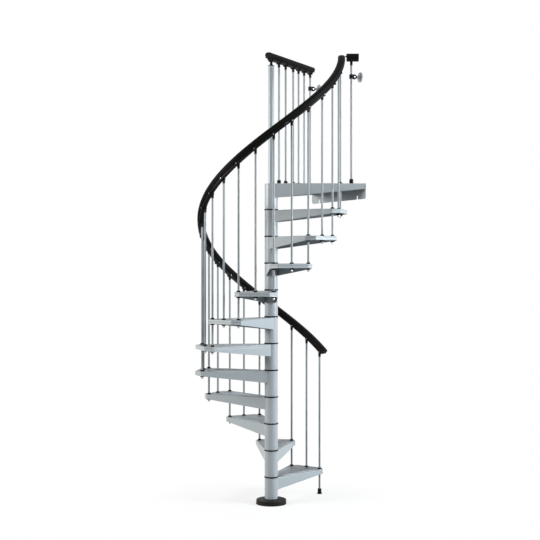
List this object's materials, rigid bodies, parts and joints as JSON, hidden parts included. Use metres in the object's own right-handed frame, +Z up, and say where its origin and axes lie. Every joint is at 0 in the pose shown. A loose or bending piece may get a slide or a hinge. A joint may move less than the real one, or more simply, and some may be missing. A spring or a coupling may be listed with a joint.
{
  "type": "spiral staircase",
  "caption": "Spiral staircase of steel wedge treads on a central pole, with thin balusters, a helical handrail and a three-sided landing with its own railing.",
  "frame": {"origin": "on the pole's axis, at the underside of the floor plate", "axes": "+Z up along the pole; +X along the landing's front edge, away from the pole"},
  "size_m": [1.3415, 1.3565, 3.541],
  "materials": {
    "painted_steel": "satin light grey powder coat",
    "baluster_steel": "satin light blue-grey powder coat",
    "bare_steel": "smooth plated steel",
    "rose_metal": "satin grey",
    "plate_steel": "flat grey primer",
    "black_plastic": "fine moulded black",
    "rail_plastic": "extruded satin black",
    "black_metal": "satin black powder coat"
  },
  "bodies": {
    "root": {"floor_plate": "plate_steel", "base_cover": "black_plastic", "central_pole": "bare_steel", "spacer_rings": "black_plastic", "tread_01": "painted_steel", "tread_02": "painted_steel", "tread_03": "painted_steel", "tread_04": "painted_steel", "tread_05": "painted_steel", "tread_06": "painted_steel", "tread_07": "painted_steel", "tread_08": "painted_steel", "tread_09": "painted_steel", "tread_10": "painted_steel", "tread_11": "painted_steel", "landing_platform": "painted_steel", "wall_flange": "painted_steel", "newel_post": "baluster_steel", "newel_cap": "black_plastic", "start_baluster": "baluster_steel", "baluster_foot": "black_plastic", "corner_balusters": "baluster_steel", "middle_balusters": "baluster_steel", "landing_balusters": "baluster_steel", "end_baluster": "baluster_steel", "upper_collars": "black_plastic", "lower_washers": "black_plastic", "cap_nuts": "bare_steel", "landing_sockets": "black_plastic", "rail_holders": "black_metal", "landing_rail_holders": "black_metal", "spiral_handrail": "rail_plastic", "spiral_rail_strip": "rail_plastic", "landing_handrail": "rail_plastic", "landing_rail_strip": "rail_plastic", "end_rail": "rail_plastic", "end_rail_strip": "rail_plastic", "rail_end_caps": "black_plastic", "rail_link": "black_metal", "bracket_clamps": "black_metal", "wall_roses": "rose_metal"}
  },
  "joints": []
}
